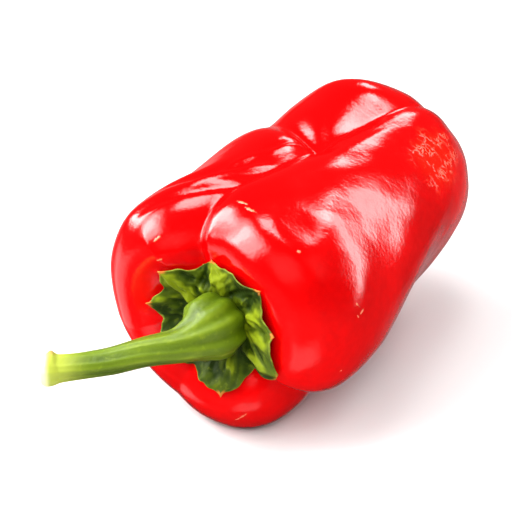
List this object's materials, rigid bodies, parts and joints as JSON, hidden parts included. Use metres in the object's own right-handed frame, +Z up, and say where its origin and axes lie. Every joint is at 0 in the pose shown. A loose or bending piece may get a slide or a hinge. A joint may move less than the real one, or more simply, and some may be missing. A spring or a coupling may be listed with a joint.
{
  "type": "bell pepper",
  "caption": "Half-long red bell pepper lying on its side: a lobed, furrowed, tapering pod with a toothed green calyx sunk in its dimple and a bent cut stem.",
  "frame": {"origin": "middle of the pepper's bounding box in X and Y, on the ground it rests on", "axes": "+Y along the pod from the stem end to the blossom end, +Z up, +X to the pepper's right seen from the stem end"},
  "size_m": [0.0768, 0.1572, 0.0711],
  "materials": {
    "pod_skin": "waxy, glossy red pepper skin",
    "calyx_green": "dull, wrinkled dark green",
    "stem_green": "satin, finely ribbed yellow-green"
  },
  "bodies": {
    "root": {"pod": "pod_skin", "calyx": "calyx_green", "stem": "stem_green"}
  },
  "joints": []
}
